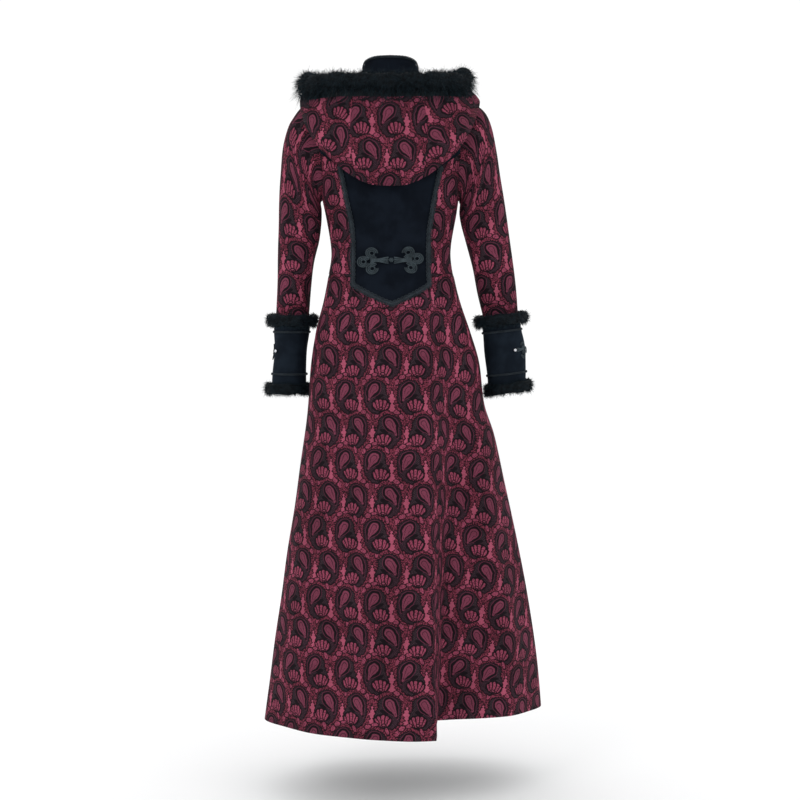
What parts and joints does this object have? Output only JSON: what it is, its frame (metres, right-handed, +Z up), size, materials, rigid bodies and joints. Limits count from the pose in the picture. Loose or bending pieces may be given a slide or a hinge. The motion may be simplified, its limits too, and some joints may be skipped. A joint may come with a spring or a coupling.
{
  "type": "faux fur trimmed hooded maxi coat",
  "caption": "Long hooded coat in crimson and black paisley brocade, with a black velvet back, collar and cuffs and black faux-fur trim, in its worn, hollow form.",
  "frame": {"origin": "base of the neck at the centre back, where the wearer's shoulders carry the coat", "axes": "+Z up, -Y to the front, +X to the wearer's left"},
  "size_m": [0.5632, 0.496, 1.3167],
  "materials": {
    "brocade": "matte",
    "velvet": "matte",
    "fur": "matte",
    "gimp": "satin",
    "cord": "satin",
    "bead": "polished",
    "button": "satin"
  },
  "bodies": {
    "root": {"back_frog_knot": "cord", "back_frog_left": "cord", "back_frog_right": "cord", "back_velvet_left": "velvet", "back_velvet_right": "velvet", "collar": "velvet", "collar_braid": "gimp", "cuff_bead_left": "bead", "cuff_bead_right": "bead", "cuff_braid_lower_left": "gimp", "cuff_braid_lower_right": "gimp", "cuff_braid_upper_left": "gimp", "cuff_braid_upper_right": "gimp", "cuff_frog_left": "cord", "cuff_frog_right": "cord", "cuff_fur_lower_left": "fur", "cuff_fur_lower_right": "fur", "cuff_fur_upper_left": "fur", "cuff_fur_upper_right": "fur", "cuff_left": "velvet", "cuff_right": "velvet", "front_button_1": "button", "front_button_2": "button", "front_button_3": "button", "front_button_4": "button", "front_button_5": "button", "front_button_6": "button", "front_left": "brocade", "front_right": "brocade", "hood_centre": "brocade", "hood_fur": "fur", "hood_left": "brocade", "hood_right": "brocade", "panel_braid_left": "gimp", "panel_braid_right": "gimp", "side_back_left": "brocade", "side_back_right": "brocade", "skirt_back": "brocade", "skirt_front_left": "brocade", "skirt_front_right": "brocade", "sleeve_left": "brocade", "sleeve_right": "brocade"}
  },
  "joints": []
}
